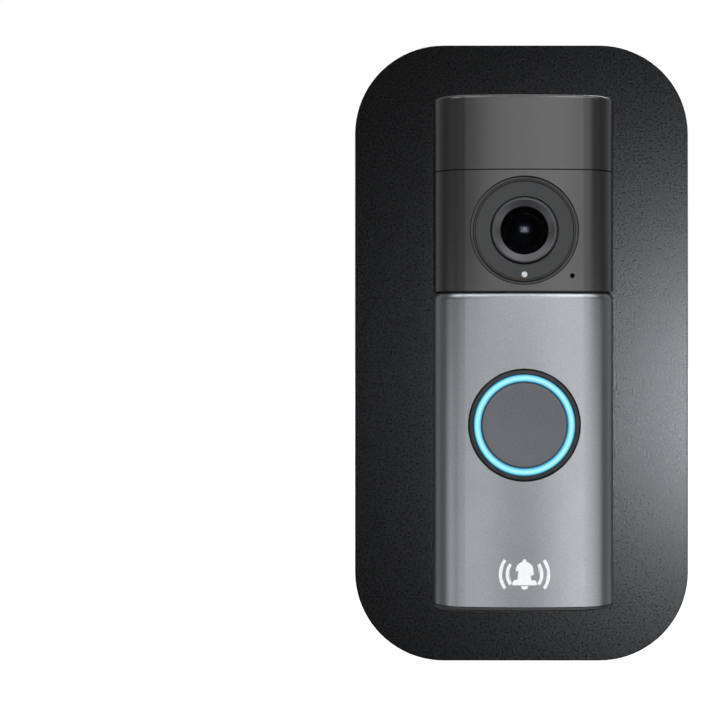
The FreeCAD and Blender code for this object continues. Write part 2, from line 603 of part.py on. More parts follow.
def ring_lamps():
    """Twelve small lamps that feed the light guide from behind."""
    count = 12
    spacing = 360.0 / count
    lamps = []
    for step in range(count):
        lamp = box(12.1, 13.1, BUTTON_BOARD_Y, BUTTON_BOARD_Y - 0.7, -0.8, 0.8)
        lamp.rotate(Vector(0, 0, 0), Vector(0, 1, 0), spacing * (step + 0.5))
        lamps.append(lamp.translated(Vector(0, 0, BUTTON_Z)))
    return lamps


# ---------------------------------------------------------------- sound
def microphone():
    """Small sealed microphone behind the hole in the camera cover."""
    return box(MIC_X - 1.9, MIC_X + 1.9, MIC_BOARD_Y, MIC_FACE_Y, MIC_Z - 1.5, MIC_Z + 1.5)


def microphone_boot():
    """Rubber tube between the microphone and the chassis wall."""
    outer_r = 1.9
    wall_y = front_at(CHASSIS_IN, MIC_X + outer_r) + 0.1
    return ring_y(outer_r, MIC_HOLE_R, MIC_FACE_Y, wall_y, MIC_X, MIC_Z)


def microphone_board():
    return box(MIC_X - 2.6, MIC_X + 3.0, MIC_BOARD_Y + 0.7, MIC_BOARD_Y, MIC_Z - 2.4, MIC_Z + 2.4)


def speaker_frame():
    """Flat oval basket with its own sound box, open to the front."""
    floor_y = SPEAKER_BACK_Y - 0.6
    frame = slab(SPEAKER_W, SPEAKER_H, 6.0, SPEAKER_BACK_Y, SPEAKER_FRONT_Y, z=SPEAKER_Z)
    frame = frame.cut(slab(SPEAKER_W - 2.4, SPEAKER_H - 2.4, 5.0, floor_y, SPEAKER_FRONT_Y - 1, z=SPEAKER_Z))
    return frame.cut(disc_y(MAGNET_R + 0.1, SPEAKER_BACK_Y + 1, floor_y - 1, z=SPEAKER_Z))


def speaker_cone():
    """Oval diaphragm with a raised flat middle."""
    paper_t = 0.3
    back_y = SPEAKER_FRONT_Y + 1.0
    skirt_y = back_y - paper_t
    skirt = slab(SPEAKER_W - 2.6, SPEAKER_H - 2.6, 4.9, back_y, skirt_y, z=SPEAKER_Z)
    middle = slab(13.0, 8.6, 3.4, skirt_y, skirt_y - paper_t, z=SPEAKER_Z)
    return skirt.fuse(middle)


def speaker_magnet():
    return disc_y(MAGNET_R, SPEAKER_BACK_Y, -22.8, z=SPEAKER_Z)


def speaker_gasket():
    front_y = SPEAKER_FRONT_Y - 0.2
    outer = slab(SPEAKER_W - 0.4, SPEAKER_H - 0.4, 5.8, SPEAKER_FRONT_Y, front_y, z=SPEAKER_Z)
    inner = slab(SPEAKER_W - 2.2, SPEAKER_H - 2.2, 5.0, SPEAKER_FRONT_Y + 1, front_y - 1, z=SPEAKER_Z)
    return outer.cut(inner)


# ---------------------------------------------------------------- main electronics
def main_board():
    """Logic board behind the camera, drilled for the terminal screws."""
    board = slab(32.4, 52.0, 2.0, MAIN_BOARD_Y, MAIN_BOARD_BACK_Y, z=37.6)
    for x, z in TERMINAL_SPOTS:
        board = board.cut(disc_y(1.8, -8, -11, x, z))
    return board


def on_board(x, z, width, height, depth):
    """Package soldered on the front of the main board."""
    y1 = MAIN_BOARD_Y - depth
    return box(x - width / 2, x + width / 2, MAIN_BOARD_Y, y1, z - height / 2, z + height / 2)


def shield_cans():
    """Two pressed steel cans over the processor and the radio."""
    middle_z, height, corner_r = 55.6, 13.0, 0.8
    cans = []
    for x, width, depth in ((-5.6, 17.0, 2.2), (9.6, 9.0, 1.8)):
        cans.append(slab(width, height, corner_r, MAIN_BOARD_Y, MAIN_BOARD_Y - depth, x, middle_z))
    return cans


def board_parts():
    """Power, memory and amplifier packages, the power coil, and the sockets of the two flexible circuits."""
    parts = [on_board(x, z, width, height, 1.1) for x, z, width, height in PACKAGES]
    coil_w, coil_depth = 5.0, 2.4
    parts.append(slab(coil_w, coil_w, 1.0, MAIN_BOARD_Y, MAIN_BOARD_Y - coil_depth, x=13.0, z=17.6))
    parts.append(on_board(0, 14.3, 10.0, 2.6, 1.8))
    parts.append(on_board(-12.4, 13.05, 6.0, 2.3, 1.3))
    return parts


def camera_flex():
    return ribbon([(-11.8, 13.2), (-11.8, 19.85)], -4, 4)


def button_flex():
    """Runs over the top of the battery sleeve from the button board to the main board."""
    return ribbon([(-21.9, -7.5), (-21.9, 7.0), (-11.3, 7.0), (-11.3, 13.8)], -15.0, -10.0)


def radar_board():
    return slab(31.0, 13.6, 1.5, RADAR_Y, RADAR_Y + RADAR_T, z=RADAR_Z)


def radar_parts():
    """Four antenna patches on the front of the motion sensor's board, and the chip on its back."""
    middle_z, patch_half, chip_half = RADAR_Z, 2.0, 3.0
    low, high = middle_z - patch_half, middle_z + patch_half
    patches = [box(x - patch_half, x + patch_half, RADAR_Y, RADAR_Y - 0.15, low, high) for x in PATCH_XS]
    back_y = RADAR_Y + RADAR_T
    chip = box(-chip_half, chip_half, back_y, back_y + 0.9, middle_z - 3.2, middle_z + 2.8)
    return patches + [chip]


def wifi_antenna():
    """Folded sheet-metal antenna under the top wall."""
    sheet_t, top_z, foot_z, back_y = 0.3, 63.0, 60.2, -13.2
    top = box(-14, 6, -19.0, back_y, top_z, top_z + sheet_t)
    legs = [box(x, x + sheet_t, back_y - 1.2, back_y, foot_z, top_z + 0.1) for x in (-14.0, -9.0)]
    return top.multiFuse(legs).removeSplitter()


def terminal_posts():
    """Threaded brass posts that bring the house wires to the main board."""
    return [ring_y(2.45, 1.35, TERMINAL_FLOOR_Y, MAIN_BOARD_BACK_Y, x, z) for x, z in TERMINAL_SPOTS]


def terminal_plates():
    """Square clamp washers under the terminal screws."""
    width, top_y = 6.4, TERMINAL_FLOOR_Y + TERMINAL_PLATE_T
    plates = []
    for x, z in TERMINAL_SPOTS:
        plate = slab(width, width, 0.6, TERMINAL_FLOOR_Y, top_y, x, z)
        plates.append(plate.cut(disc_y(1.45, 0, -9, x, z)))
    return plates


def terminal_screws():
    """Slotted screws that clamp the house wires under the plates."""
    seat = TERMINAL_FLOOR_Y + TERMINAL_PLATE_T
    head, head_r, thread_r, tip = seat + 1.25, 2.8, 1.3, -10.7
    profile = [
        (0, head), (head_r - 0.2, head), (head_r, head - 0.3), (head_r, seat), (thread_r, seat),
        (thread_r, tip), (0, tip),
    ]
    screws = []
    for x, z in TERMINAL_SPOTS:
        slot = box(x - head_r - 0.1, x + head_r + 0.1, head - 0.8, head + 0.1, z - 0.35, z + 0.35)
        screws.append(turned_y(profile, x, z).cut(slot))
    return screws


def setup_button():
    """Small button on the back, reached through the bracket's window when the unit is off the wall."""
    return turned_y(
        [
            (0, -4.45), (2.2, -4.45), (2.5, -4.7), (2.5, -6.5), (3.2, -6.5), (3.2, -6.95), (0.8, -6.95),
            (0.8, -7.9), (0, -7.9),
        ],
        SETUP_X,
        SETUP_Z,
    )


def setup_switch():
    """Side board and switch under the setup button, with a well for its stem."""
    front_y, back_y = -8.65, -7.6
    body = box(SETUP_X - 2.4, SETUP_X + 2.4, front_y, back_y, SETUP_Z - 2.0, SETUP_Z + 2.0)
    return body.cut(disc_y(0.95, front_y + 0.1, back_y + 0.6, SETUP_X, SETUP_Z))


# ---------------------------------------------------------------- battery
def battery_sleeve():
    """Thin-walled bay that parts the battery from the sealed electronics, open at the bottom."""
    low, top = UNIT_BOTTOM + BOTTOM_LIP, SLEEVE_TOP_Z + SLEEVE_WALL
    sleeve = box(-SLEEVE_OUT_X, SLEEVE_OUT_X, SLEEVE_OUT_FRONT, SLEEVE_OUT_BACK, low, top)
    sleeve = sleeve.cut(bay_block(low - 1, SLEEVE_TOP_Z))
    pin_room = box(-5.2, 5.2, PACK_Y - 1.2, PACK_Y + 1.2, 0, top + 1)
    groove = box(-LATCH_GROOVE_X, LATCH_GROOVE_X, PACK_Y, SLEEVE_IN_FRONT - 2, low - 1, low + 2.9)
    return sleeve.cut(pin_room).cut(groove)


def bay_block(z0, z1):
    """The battery bay's clear room between two heights."""
    return slab_xy(2 * SLEEVE_IN_X, PACK_T + 2 * SLEEVE_GAP, PACK_EDGE_R + SLEEVE_GAP, z0, z1, y=PACK_Y)


def contact_block():
    """Insulator that holds the three spring pins over the battery."""
    block = box(-8, 8, PACK_Y - 2.4, PACK_Y + 2.4, SLEEVE_TOP_Z + SLEEVE_WALL, 8.4)
    for x in PIN_XS:
        block = block.cut(disc_z(0.75, 0, 20, x, PACK_Y))
    return block


def contact_pins():
    """Three gilt spring pins that meet the battery's pads."""
    top, shoulder, tip = 8.9, 6.4, PACK_TOP_Z + 0.2
    profile = [(0, tip), (0.45, tip), (0.45, shoulder), (0.7, shoulder), (0.7, top), (0, top)]
    return [turned_z(profile, x, PACK_Y) for x in PIN_XS]


def battery_case():
    """Slim moulded tube round the cell, closed at the top."""
    low, wall, face_wall, pad_half = END_CAP_TOP_Z, 0.9, 0.8, 1.1
    inner_x = PACK_W / 2 - wall
    case = slab_xy(PACK_W, PACK_T, PACK_EDGE_R, low, PACK_TOP_Z, y=PACK_Y)
    front, back = PACK_FRONT_Y + face_wall, PACK_BACK_Y - face_wall
    case = case.cut(box(-inner_x, inner_x, front, back, low - 1, PACK_TOP_Z - wall))
    for x in PIN_XS:
        case = case.cut(box(x - pad_half, x + pad_half, PACK_Y - pad_half, PACK_Y + pad_half, 0, 9))
    return case


def battery_cell():
    return slab_xy(PACK_W - 2.8, PACK_T - 2.2, 2.4, -60.4, -1.4, y=PACK_Y)


def battery_board():
    """Protection circuit across the top of the cell, with three contact pads."""
    low, half, pad_half = 1.5, 13.0, 1.0
    top = low + BOARD_T
    pieces = [box(-half, half, PACK_FRONT_Y + 1.2, PACK_BACK_Y - 1.2, low, top)]
    for x in PIN_XS:
        pad = box(x - pad_half, x + pad_half, PACK_Y - pad_half, PACK_Y + pad_half, top, PACK_TOP_Z - 0.1)
        pieces.append(pad)
    return pieces


def battery_end_cap():
    """End of the pack that closes the bay's mouth, flush with the underside, with a finger groove."""
    cap = slab_xy(PACK_W, PACK_T, PACK_EDGE_R, UNIT_BOTTOM + 0.1, END_CAP_TOP_Z, y=PACK_Y)
    cap = cap.cut(slab_xy(16.0, 3.0, 1.4, UNIT_BOTTOM - 1, UNIT_BOTTOM + 1.6, y=PACK_Y + 2.2))
    # the latch's seat, open to the front and below, with room behind for its travel
    half, depth = LATCH_W / 2 + 0.2, LATCH_D + 1.4
    seat_front, seat_back = PACK_FRONT_Y - 1, PACK_FRONT_Y + depth
    return cap.cut(box(-half, half, seat_front, seat_back, UNIT_BOTTOM - 1, UNIT_BOTTOM + 4.4))


def battery_latch():
    """Push tab in the end cap; its tooth runs in the groove at the front of the battery bay's mouth."""
    half, low, high = LATCH_W / 2, UNIT_BOTTOM + 0.2, UNIT_BOTTOM + 4.2
    tab = box(-half, half, PACK_FRONT_Y + 0.1, PACK_FRONT_Y + LATCH_D, low, high)
    grip_half, grip_pitch, grip_x = 0.18, 0.75, 3.2
    for step in range(3):
        y = PACK_FRONT_Y + 0.8 + grip_pitch * step
        tab = tab.cut(box(-grip_x, grip_x, y - grip_half, y + grip_half, UNIT_BOTTOM, low + 0.3))
    tooth_x = LATCH_GROOVE_X - 0.4
    tooth = box(-tooth_x, tooth_x, PACK_FRONT_Y - 0.9, PACK_FRONT_Y + 0.2, low + 1.6, high - 0.6)
    return tab.fuse(tooth).removeSplitter()


def security_screw():
    """Lock screw from below, through the housing into the bracket's tab, with a six-lobed socket."""
    low, seat, top = UNIT_BOTTOM + 0.2, UNIT_BOTTOM + 2.3, -58.6
    body = turned_z(
        [
            (0, low), (SECURITY_HEAD_R - 0.35, low), (SECURITY_HEAD_R, low + 0.35),
            (SECURITY_HEAD_R, seat - 0.05), (1.45, seat - 0.05), (1.45, top - 0.4), (1.05, top), (0, top),
        ],
        y=SECURITY_Y,
    )
    socket_r, lobe_r, lobes, depth = 1.0, 0.32, 6, 1.4
    socket = disc_z(socket_r, low - 1, low + depth, y=SECURITY_Y)
    for step in range(lobes):
        angle = 2 * math.pi * step / lobes
        x, y = socket_r * math.cos(angle), SECURITY_Y + socket_r * math.sin(angle)
        socket = socket.fuse(disc_z(lobe_r, low - 1, low + depth, x, y))
    return body.cut(socket)


# ---------------------------------------------------------------- all nodes
MAKERS = [
    # wall side, housing and skin
    wall_plate, mounting_bracket, wall_screws, rear_housing, housing_seal, housing_screws, front_chassis,
    top_cover, camera_cover, faceplate, security_screw,
    # camera
    camera_bezel, infrared_window, light_sensor_lens, lens_barrel, front_lens, second_lens, aperture_stop,
    lens_holder, camera_board, image_sensor, infrared_board, infrared_lamps, ring_seals,
    # button
    button_bezel, light_ring, button_cap, switch_plunger, button_switch, button_board, ring_lamps,
    # sound
    microphone, microphone_boot, microphone_board,
    speaker_frame, speaker_cone, speaker_magnet, speaker_gasket,
    # main electronics and terminals
    main_board, shield_cans, board_parts, camera_flex, button_flex, radar_board, radar_parts, wifi_antenna,
    terminal_posts, terminal_plates, terminal_screws, setup_button, setup_switch,
    # battery
    battery_sleeve, contact_block, contact_pins, battery_case, battery_cell, battery_board, battery_end_cap,
    battery_latch,
]


def build():
    os.makedirs("parts", exist_ok=True)
    for maker in MAKERS:
        save(maker.__name__, maker())


build()
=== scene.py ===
"""Looks for the battery video doorbell on its wall plate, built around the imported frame.

All lengths are metres in the part's own frame: the front faces -Y, +Z is up, and y = 0 is the wall plane.
The CAD nodes keep their shapes and get procedural materials. Pieces added here: the printed bell sign on the
faceplate, and wall screws with real threads in place of the plain ones.
"""

import json
import math

import bmesh
import bpy
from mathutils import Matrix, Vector

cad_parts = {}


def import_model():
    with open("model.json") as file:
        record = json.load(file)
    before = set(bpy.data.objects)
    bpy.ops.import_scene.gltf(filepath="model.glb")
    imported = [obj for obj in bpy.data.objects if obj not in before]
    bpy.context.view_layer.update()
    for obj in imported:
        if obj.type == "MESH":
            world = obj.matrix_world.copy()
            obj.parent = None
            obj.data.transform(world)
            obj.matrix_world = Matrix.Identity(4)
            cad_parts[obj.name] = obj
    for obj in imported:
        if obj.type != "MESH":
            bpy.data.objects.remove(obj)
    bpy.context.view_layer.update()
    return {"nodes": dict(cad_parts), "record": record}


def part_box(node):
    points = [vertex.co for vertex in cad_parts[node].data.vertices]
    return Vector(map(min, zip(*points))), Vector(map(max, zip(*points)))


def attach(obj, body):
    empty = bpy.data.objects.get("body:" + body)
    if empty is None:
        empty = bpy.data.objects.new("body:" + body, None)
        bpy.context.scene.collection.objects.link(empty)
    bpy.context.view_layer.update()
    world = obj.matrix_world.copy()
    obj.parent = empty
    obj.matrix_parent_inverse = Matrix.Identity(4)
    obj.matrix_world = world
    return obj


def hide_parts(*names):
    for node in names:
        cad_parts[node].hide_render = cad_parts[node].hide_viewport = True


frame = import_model()

MM = 0.001
NODES = frame["nodes"]


# ---------------------------------------------------------------- places taken from the frame
def centre_of(node):
    low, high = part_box(node)
    return (low + high) / 2


PLATE_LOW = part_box("wall_plate")[0]
FACE_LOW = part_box("faceplate")[0]
BUTTON_CENTRE = centre_of("button_cap")
LENS_CENTRE = centre_of("front_lens")


# ---------------------------------------------------------------- shader graphs
class Graph:
    """A material's node tree with one Principled shader, built by short calls."""

    def __init__(self, name, color, metallic=0.0, roughness=0.5):
        self.material = bpy.data.materials.new(name)
        self.material.use_nodes = True
        self.tree = self.material.node_tree
        self.shader = self.tree.nodes["Principled BSDF"]
        self.set(color, "Base Color")
        self.set(metallic, "Metallic")
        self.set(roughness, "Roughness")
        self.material.diffuse_color = (*color, 1)

    def set(self, value, socket):
        """Constant for one of the shader's sockets; colours come as three numbers."""
        if "Color" in socket:
            value = (*value, 1)
        self.shader.inputs[socket].default_value = value
        return self

    def new(self, kind, **values):
        node = self.tree.nodes.new(kind)
        for key, value in values.items():
            setattr(node, key, value)
        return node

    def link(self, source, target):
        self.tree.links.new(source, target)

    def coordinates(self, stretch=(1, 1, 1)):
        """Object coordinates in metres, scaled by stretch: below 1 it draws grain out along that axis."""
        coords = self.new("ShaderNodeTexCoord")
        mapping = self.new("ShaderNodeMapping")
        mapping.inputs["Scale"].default_value = stretch
        self.link(coords.outputs["Object"], mapping.inputs["Vector"])
        return mapping.outputs["Vector"]

    def noise(self, size, detail=2.0, rough=0.5, stretch=(1, 1, 1)):
        """Noise whose features are about size metres across."""
        texture = self.new("ShaderNodeTexNoise")
        texture.inputs["Scale"].default_value = 1.0 / size
        texture.inputs["Detail"].default_value = detail
        texture.inputs["Roughness"].default_value = rough
        self.link(self.coordinates(stretch), texture.inputs["Vector"])
        return texture.outputs["Fac"]

    def spread(self, source, low, high, start=0.3, stop=0.7):
        """The source mapped from start..stop to low..high."""
        ramp = self.new("ShaderNodeMapRange")
        ramp.inputs["From Min"].default_value = start
        ramp.inputs["From Max"].default_value = stop
        ramp.inputs["To Min"].default_value = low
        ramp.inputs["To Max"].default_value = high
        self.link(source, ramp.inputs["Value"])
        return ramp.outputs["Result"]

    def vary(self, socket, source, low, high):
        """The shader's socket from low to high, driven by the source."""
        self.link(self.spread(source, low, high), self.shader.inputs[socket])

    def tint(self, source, dark, light, start=0.3, stop=0.7):
        """Base colour from dark to light, driven by the source."""
        mix = self.new("ShaderNodeMix", data_type="RGBA")
        mix.inputs["A"].default_value = (*dark, 1)
        mix.inputs["B"].default_value = (*light, 1)
        self.link(self.spread(source, 0, 1, start, stop), mix.inputs["Factor"])
        self.link(mix.outputs["Result"], self.shader.inputs["Base Color"])

    def bump(self, *layers):
        """Layers are (height source, depth in metres), stacked into one normal."""
        normal = None
        for source, depth in layers:
            bump = self.new("ShaderNodeBump")
            bump.inputs["Strength"].default_value = 1.0
            bump.inputs["Distance"].default_value = depth
            self.link(source, bump.inputs["Height"])
            if normal is not None:
                self.link(normal, bump.inputs["Normal"])
            normal = bump.outputs["Normal"]
        self.link(normal, self.shader.inputs["Normal"])


def powder_coat():
    """Black textured powder coat: fine grain over a wider, shallower orange peel."""
    g = Graph("powder_coat", (0.008, 0.008, 0.009), roughness=0.3)
    grain = g.noise(0.55 * MM, rough=0.55)
    peel = g.noise(2.4 * MM)
    g.vary("Roughness", grain, 0.25, 0.37)
    g.vary("Specular IOR Level", grain, 0.32, 0.68)
    g.tint(grain, (0.0075, 0.0075, 0.0085), (0.0085, 0.0085, 0.0095))
    g.bump((peel, 0.008 * MM), (grain, 0.030 * MM))
    return g.material


def satin_nickel():
    """Satin metallic finish with fine flake and a faint cloudiness."""
    g = Graph("satin_nickel", (0.262, 0.274, 0.286), metallic=1.0, roughness=0.34)
    flake = g.noise(0.35 * MM, rough=0.6)
    cloud = g.noise(9 * MM, detail=3.0)
    g.tint(flake, (0.238, 0.249, 0.260), (0.288, 0.300, 0.313))
    g.vary("Roughness", cloud, 0.32, 0.36)
    g.bump((flake, 0.006 * MM))
    return g.material


def gloss_black():
    """Deep gloss moulding under a soft coat, with a slight long-wave ripple and hazy handling marks."""
    g = Graph("gloss_black", (0.012, 0.012, 0.013), roughness=0.13)
    ripple = g.noise(14 * MM, detail=1.0)
    haze = g.noise(6 * MM, detail=4.0, rough=0.6)
    g.vary("Roughness", haze, 0.12, 0.2)
    g.bump((ripple, 0.008 * MM))
    g.set(1.0, "Coat Weight").set(0.25, "Coat Roughness").set(1.7, "Coat IOR")
    g.set(0.0, "Specular IOR Level")
    return g.material


def moulded(name, dark, light, roughness, grain=0.35 * MM):
    """Moulded plastic with spark-eroded grain and slight colour drift."""
    g = Graph(name, light, roughness=roughness)
    fine = g.noise(grain)
    drift = g.noise(11 * MM)
    swing = 0.07
    g.tint(drift, dark, light)
    g.vary("Roughness", fine, roughness - swing, roughness + swing)
    g.bump((fine, 0.012 * MM))
    return g.material


def rubber():
    """Dull seal rubber with a little dust on it."""
    g = Graph("seal_rubber", (0.03, 0.03, 0.03), roughness=0.75)
    dust = g.noise(1.5 * MM, detail=3.0)
    g.tint(dust, (0.022, 0.022, 0.022), (0.045, 0.044, 0.042))
    g.bump((g.noise(0.3 * MM), 0.01 * MM))
    return g.material


def plated(name, dark, light, roughness, stretch=(1, 1, 1)):
    """Plated or brushed metal: fine grain, drawn out where stretch is below 1, and tarnish in patches."""
    g = Graph(name, light, metallic=1.0, roughness=roughness)
    lines = g.noise(0.3 * MM, detail=3.0, rough=0.6, stretch=stretch)
    patches = g.noise(3 * MM, detail=3.0)
    g.tint(patches, dark, light)
    g.vary("Roughness", lines, roughness - 0.08, roughness + 0.1)
    g.bump((lines, 0.004 * MM))
    return g.material


def smoked_window():
    """Dark annulus that infrared passes: satin surface over a nearly black body."""
    g = Graph("smoked_window", (0.014, 0.015, 0.016), roughness=0.38)
    fine = g.noise(0.25 * MM)
    g.tint(fine, (0.011, 0.012, 0.013), (0.017, 0.018, 0.020))
    g.set(0.42, "Specular IOR Level")
    g.vary("Roughness", g.noise(4 * MM), 0.34, 0.42)
    g.bump((fine, 0.003 * MM))
    return g.material


def bezel_black():
    """Smooth black moulding of the two bezels, a little smeared."""
    g = Graph("bezel_black", (0.014, 0.014, 0.015), roughness=0.22)
    g.vary("Roughness", g.noise(3 * MM, detail=3.0), 0.18, 0.28)
    g.bump((g.noise(0.4 * MM), 0.002 * MM))
    return g.material


def lens_barrel():
    """Dark anodised cone with fine turned grooves about the lens axis."""
    g = Graph("barrel_grey", (0.064, 0.064, 0.069), metallic=0.7, roughness=0.42)
    coords = g.new("ShaderNodeTexCoord")
    shift = g.new("ShaderNodeMapping")
    shift.inputs["Location"].default_value = (-LENS_CENTRE.x, 0, -LENS_CENTRE.z)
    g.link(coords.outputs["Object"], shift.inputs["Vector"])
    grooves = g.new("ShaderNodeTexWave", wave_type="RINGS", rings_direction="Y")
    grooves.inputs["Scale"].default_value = 1 / (2.2 * MM)
    g.link(shift.outputs["Vector"], grooves.inputs["Vector"])
    g.bump((grooves.outputs["Fac"], 0.02 * MM))
    g.tint(g.noise(2 * MM), (0.056, 0.057, 0.061), (0.074, 0.075, 0.080))
    return g.material


def coated_glass():
    """Lens glass with an anti-reflection film, 110 nanometres thick."""
    g = Graph("lens_glass", (0.25, 0.3, 0.33), roughness=0.15)
    g.set(1.0, "Transmission Weight").set(1.5, "IOR")
    g.set(110, "Thin Film Thickness").set(1.38, "Thin Film IOR")
    g.vary("Roughness", g.noise(5 * MM), 0.14, 0.18)
    return g.material


def lit_ring():
    """Light guide, lit from behind: brightest on the crown of the ring and bluer at both edges."""
    g = Graph("light_guide", (0.04, 0.1, 0.13), roughness=0.35)
    # distance from the button's axis
    coords = g.new("ShaderNodeTexCoord")
    flat = g.new("ShaderNodeVectorMath", operation="MULTIPLY")
    flat.inputs[1].default_value = (1, 0, 1)
    offset = g.new("ShaderNodeVectorMath", operation="SUBTRACT")
    offset.inputs[1].default_value = (BUTTON_CENTRE.x, 0, BUTTON_CENTRE.z)
    reach = g.new("ShaderNodeVectorMath", operation="LENGTH")
    g.link(coords.outputs["Object"], flat.inputs[0])
    g.link(flat.outputs["Vector"], offset.inputs[0])
    g.link(offset.outputs["Vector"], reach.inputs[0])
    low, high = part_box("light_ring")
    outer = (high.x - low.x) / 2
    width = 1.85 * MM
    ramp = g.new("ShaderNodeValToRGB")
    # place across the ring, from its inner edge to its outer one, and colour
    stops = [
        (0.0, (0.02, 0.16, 0.28)), (0.22, (0.12, 0.62, 0.83)), (0.5, (0.40, 0.86, 0.97)),
        (0.78, (0.14, 0.66, 0.86)), (1.0, (0.02, 0.14, 0.25)),
    ]
    elements = ramp.color_ramp.elements
    while len(elements) < len(stops):
        elements.new(0.5)
    for element, (place, color) in zip(elements, stops):
        element.position = place
        element.color = (*color, 1)
    across = g.spread(reach.outputs["Value"], 0, 1, outer - width, outer)
    g.link(across, ramp.inputs["Fac"])
    g.link(ramp.outputs["Color"], g.shader.inputs["Emission Color"])
    g.set(1.0, "Emission Strength")
    return g.material


def button_grey():
    """Satin button face with a very fine grain."""
    g = Graph("button_grey", (0.10, 0.105, 0.115), metallic=0.55, roughness=0.42)
    fine = g.noise(0.3 * MM)
    g.tint(fine, (0.09, 0.094, 0.104), (0.115, 0.12, 0.132))
    g.vary("Roughness", g.noise(5 * MM), 0.38, 0.46)
    g.bump((fine, 0.004 * MM))
    return g.material


def milky():
    """Cloudy light pipe over the light sensor."""
    g = Graph("milky_pipe", (0.62, 0.64, 0.66), roughness=0.3)
    g.set(0.3, "Subsurface Weight")
    g.vary("Roughness", g.noise(0.5 * MM), 0.25, 0.38)
    return g.material


def circuit_board():
    """Solder mask over copper, with a lighter and slightly raised pattern for the tracks."""
    g = Graph("board_green", (0.01, 0.10, 0.045), roughness=0.3)
    tracks = g.new("ShaderNodeTexBrick")
    tracks.inputs["Scale"].default_value = 1 / (3 * MM)
    tracks.inputs["Mortar Size"].default_value = 0.03
    turn = g.new("ShaderNodeMapping")
    turn.inputs["Rotation"].default_value = (math.radians(90), 0, 0)
    coords = g.new("ShaderNodeTexCoord")
    g.link(coords.outputs["Object"], turn.inputs["Vector"])
    g.link(turn.outputs["Vector"], tracks.inputs["Vector"])
    g.tint(tracks.outputs["Fac"], (0.008, 0.085, 0.035), (0.03, 0.2, 0.08), start=0, stop=1)
    g.bump((tracks.outputs["Fac"], 0.02 * MM))
    return g.material


def flex_amber():
    """Amber flexible circuit with long conductor lines."""
    g = Graph("flex_amber", (0.42, 0.16, 0.02), roughness=0.28)
    lines = g.noise(0.5 * MM, detail=1.0, stretch=(1, 0.05, 0.05))
    g.tint(lines, (0.34, 0.12, 0.015), (0.5, 0.22, 0.04))
    g.bump((lines, 0.01 * MM))
    return g.material


def clear_lamp():
    """Pale lamp bodies."""
    g = Graph("lamp_clear", (0.8, 0.8, 0.74), roughness=0.15)
    g.vary("Roughness", g.noise(0.4 * MM), 0.1, 0.22)
    return g.material


def cell_wrap():
    """Crinkled foil laminate round the battery cell."""
    g = Graph("cell_wrap", (0.2, 0.3, 0.42), metallic=0.8, roughness=0.33)
    crinkle = g.noise(4 * MM, detail=4.0, rough=0.6)
    g.tint(crinkle, (0.16, 0.25, 0.37), (0.26, 0.37, 0.5))
    g.bump((crinkle, 0.15 * MM))
    return g.material


def white_ink():
    """Screen-printed ink with slight wear."""
    g = Graph("white_ink", (0.86, 0.87, 0.88), roughness=0.42)
    wear = g.noise(0.4 * MM)
    g.tint(wear, (0.80, 0.81, 0.82), (0.9, 0.91, 0.92))
    g.bump((wear, 0.003 * MM))
    return g.material


def slot_materials():
    """One Blender material for each of the record's slots."""
    # name, dark colour, light colour, roughness and, where it isn't the usual one, the grain's size
    mouldings = [
        ("bracket_nylon", (0.03, 0.03, 0.032), (0.045, 0.045, 0.048), 0.55, 0.5 * MM),
        ("housing_black", (0.012, 0.012, 0.013), (0.02, 0.02, 0.022), 0.42),
        ("switch_white", (0.6, 0.59, 0.55), (0.72, 0.71, 0.67), 0.5),
        ("chip_black", (0.018, 0.018, 0.018), (0.03, 0.03, 0.03), 0.6, 0.2 * MM),
        ("speaker_black", (0.03, 0.03, 0.03), (0.05, 0.05, 0.05), 0.6),
        ("case_black", (0.016, 0.016, 0.018), (0.028, 0.028, 0.03), 0.48),
        ("latch_grey", (0.13, 0.13, 0.135), (0.17, 0.17, 0.178), 0.5),
    ]
    # name, tarnished colour, clean colour, roughness and, for brushed metal, the stretch of its grain
    metals = [
        ("zinc_steel", (0.5, 0.5, 0.48), (0.68, 0.68, 0.66), 0.28),
        ("black_steel", (0.06, 0.06, 0.062), (0.12, 0.12, 0.125), 0.35),
        ("tinned_steel", (0.52, 0.53, 0.54), (0.68, 0.69, 0.7), 0.3, (1, 1, 0.1)),
        ("terminal_brass", (0.55, 0.38, 0.14), (0.72, 0.53, 0.24), 0.28),
        ("terminal_steel", (0.5, 0.48, 0.42), (0.66, 0.64, 0.58), 0.3),
    ]
    others = {
        "powder_coat": powder_coat, "gloss_black": gloss_black, "satin_nickel": satin_nickel,
        "bezel_black": bezel_black, "smoked_window": smoked_window, "milky_pipe": milky,
        "barrel_grey": lens_barrel, "lens_glass": coated_glass, "light_guide": lit_ring,
        "button_grey": button_grey, "seal_rubber": rubber, "board_green": circuit_board,
        "flex_amber": flex_amber, "lamp_clear": clear_lamp, "cell_wrap": cell_wrap,
    }
    materials = {row[0]: moulded(*row) for row in mouldings}
    materials.update({row[0]: plated(*row) for row in metals})
    materials.update({slot: make() for slot, make in others.items()})
    return materials


def dress_nodes(materials):
    """Gives every CAD node the material of its slot."""
    for part in frame["record"]["subparts"]:
        node = NODES[part["node"]]
        node.data.materials.clear()
        node.data.materials.append(materials[part["material_slot"]])


# ---------------------------------------------------------------- added pieces
def mesh_object(name, verts, faces, material):
    """Smooth-shaded mesh object in the scene."""
    mesh = bpy.data.meshes.new(name)
    mesh.from_pydata(verts, [], faces)
    mesh.materials.append(material)
    mesh.polygons.foreach_set("use_smooth", [True] * len(mesh.polygons))
    mesh.update()
    piece = bpy.data.objects.new(name, mesh)
    bpy.context.scene.collection.objects.link(piece)
    return piece


SKIN_R = 110 * MM            # radius of the unit's front arc


def skin_y(x):
    """Y of the faceplate's front surface at x."""
    return FACE_LOW.y + SKIN_R - math.sqrt(SKIN_R**2 - x**2)


